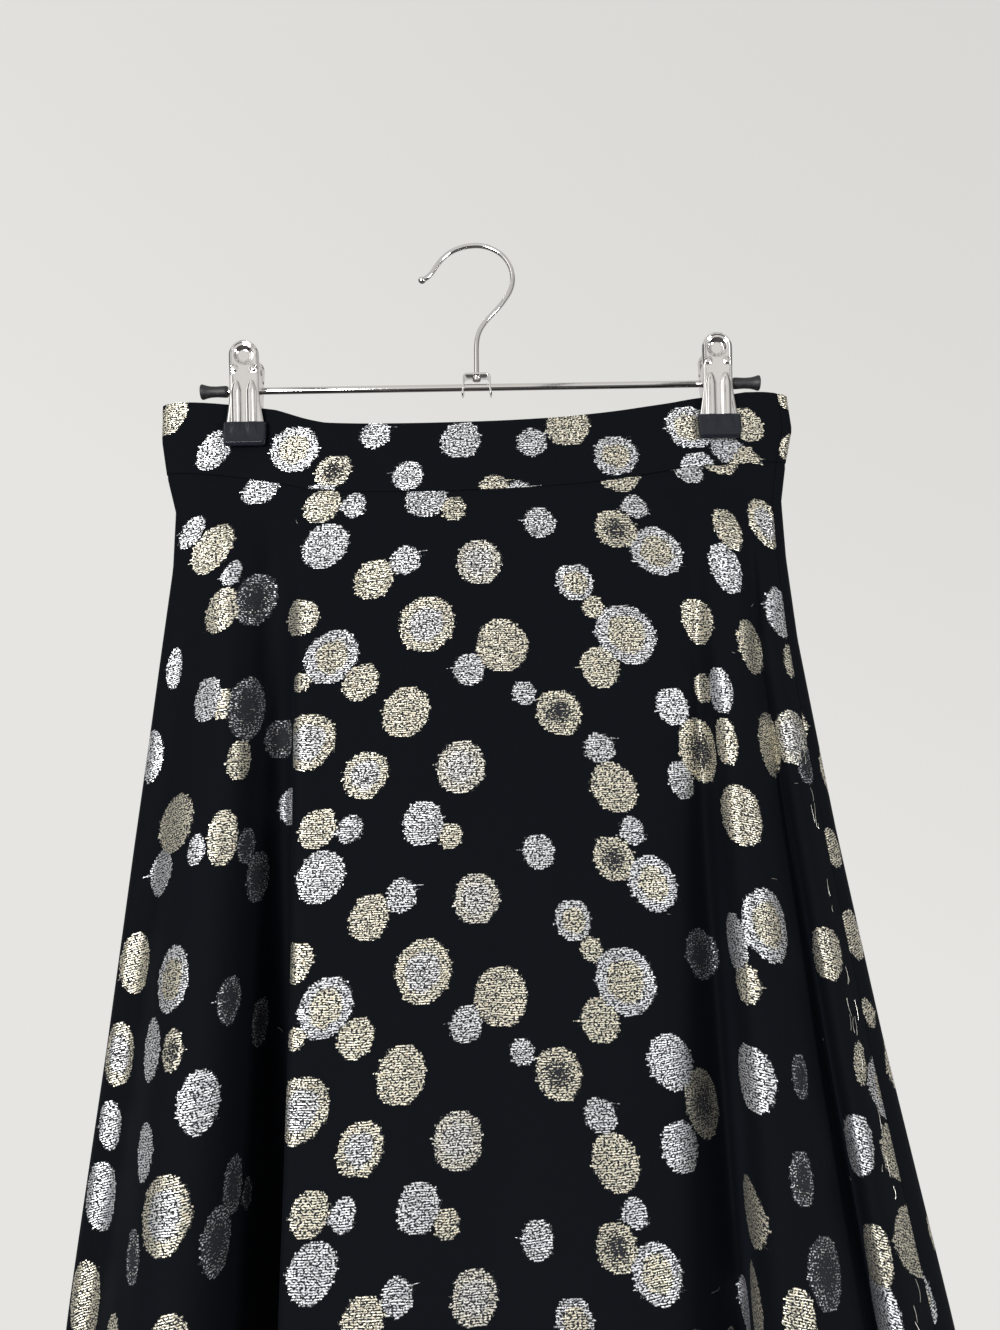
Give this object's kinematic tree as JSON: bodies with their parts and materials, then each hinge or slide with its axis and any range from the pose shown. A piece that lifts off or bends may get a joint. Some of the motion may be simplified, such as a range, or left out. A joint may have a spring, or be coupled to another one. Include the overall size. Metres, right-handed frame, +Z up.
{
  "type": "flared skirt with bubble dots, on a two-clip hanger",
  "caption": "Long flared skirt with a shaped waistband and scattered woven dots, clipped by its band to a chrome skirt hanger.",
  "frame": {"origin": "the inner top of the hanger's hook, where the nail or peg that it hangs on carries it", "axes": "+Z up, the longest way of the hung skirt; +X to the right of someone who faces the front of the skirt; -Y towards that person"},
  "size_m": [0.4791, 0.1682, 0.9161],
  "materials": {
    "cloth": "matte blue-black crepe, with ragged round spots of silver and pale gold metallic thread woven into it",
    "zip_tape": "plain black woven tape",
    "zip_enamel": "black enamel, satin",
    "hanger_chrome": "bright chrome plate",
    "cap_rubber": "black rubber, satin",
    "grip_rubber": "dark translucent soft plastic"
  },
  "bodies": {
    "skirt_and_hanger": {"waistband_front": "cloth", "waistband_back_left": "cloth", "waistband_back_right": "cloth", "skirt_front": "cloth", "skirt_back_left": "cloth", "skirt_back_right": "cloth", "zip_tape": "zip_tape", "zip_slider": "zip_enamel", "hanger_hook": "hanger_chrome", "hanger_saddle": "hanger_chrome", "hanger_bar": "hanger_chrome", "bar_cap_left": "cap_rubber", "bar_cap_right": "cap_rubber", "clip_left_front_plate": "hanger_chrome", "clip_left_back_plate": "hanger_chrome", "clip_left_front_grip": "grip_rubber", "clip_left_back_grip": "grip_rubber", "clip_left_spring": "hanger_chrome", "clip_right_front_plate": "hanger_chrome", "clip_right_back_plate": "hanger_chrome", "clip_right_front_grip": "grip_rubber", "clip_right_back_grip": "grip_rubber", "clip_right_spring": "hanger_chrome"},
    "zip_pull": {"zip_pull": "zip_enamel"}
  },
  "joints": [
    {"name": "zip_pull_swing", "type": "hinge", "parent": "skirt_and_hanger", "child": "zip_pull", "pos_m": [0.00054, 0.0109, -0.11988], "axis": [1, 0, 0], "range_deg": [0, 150]}
  ]
}
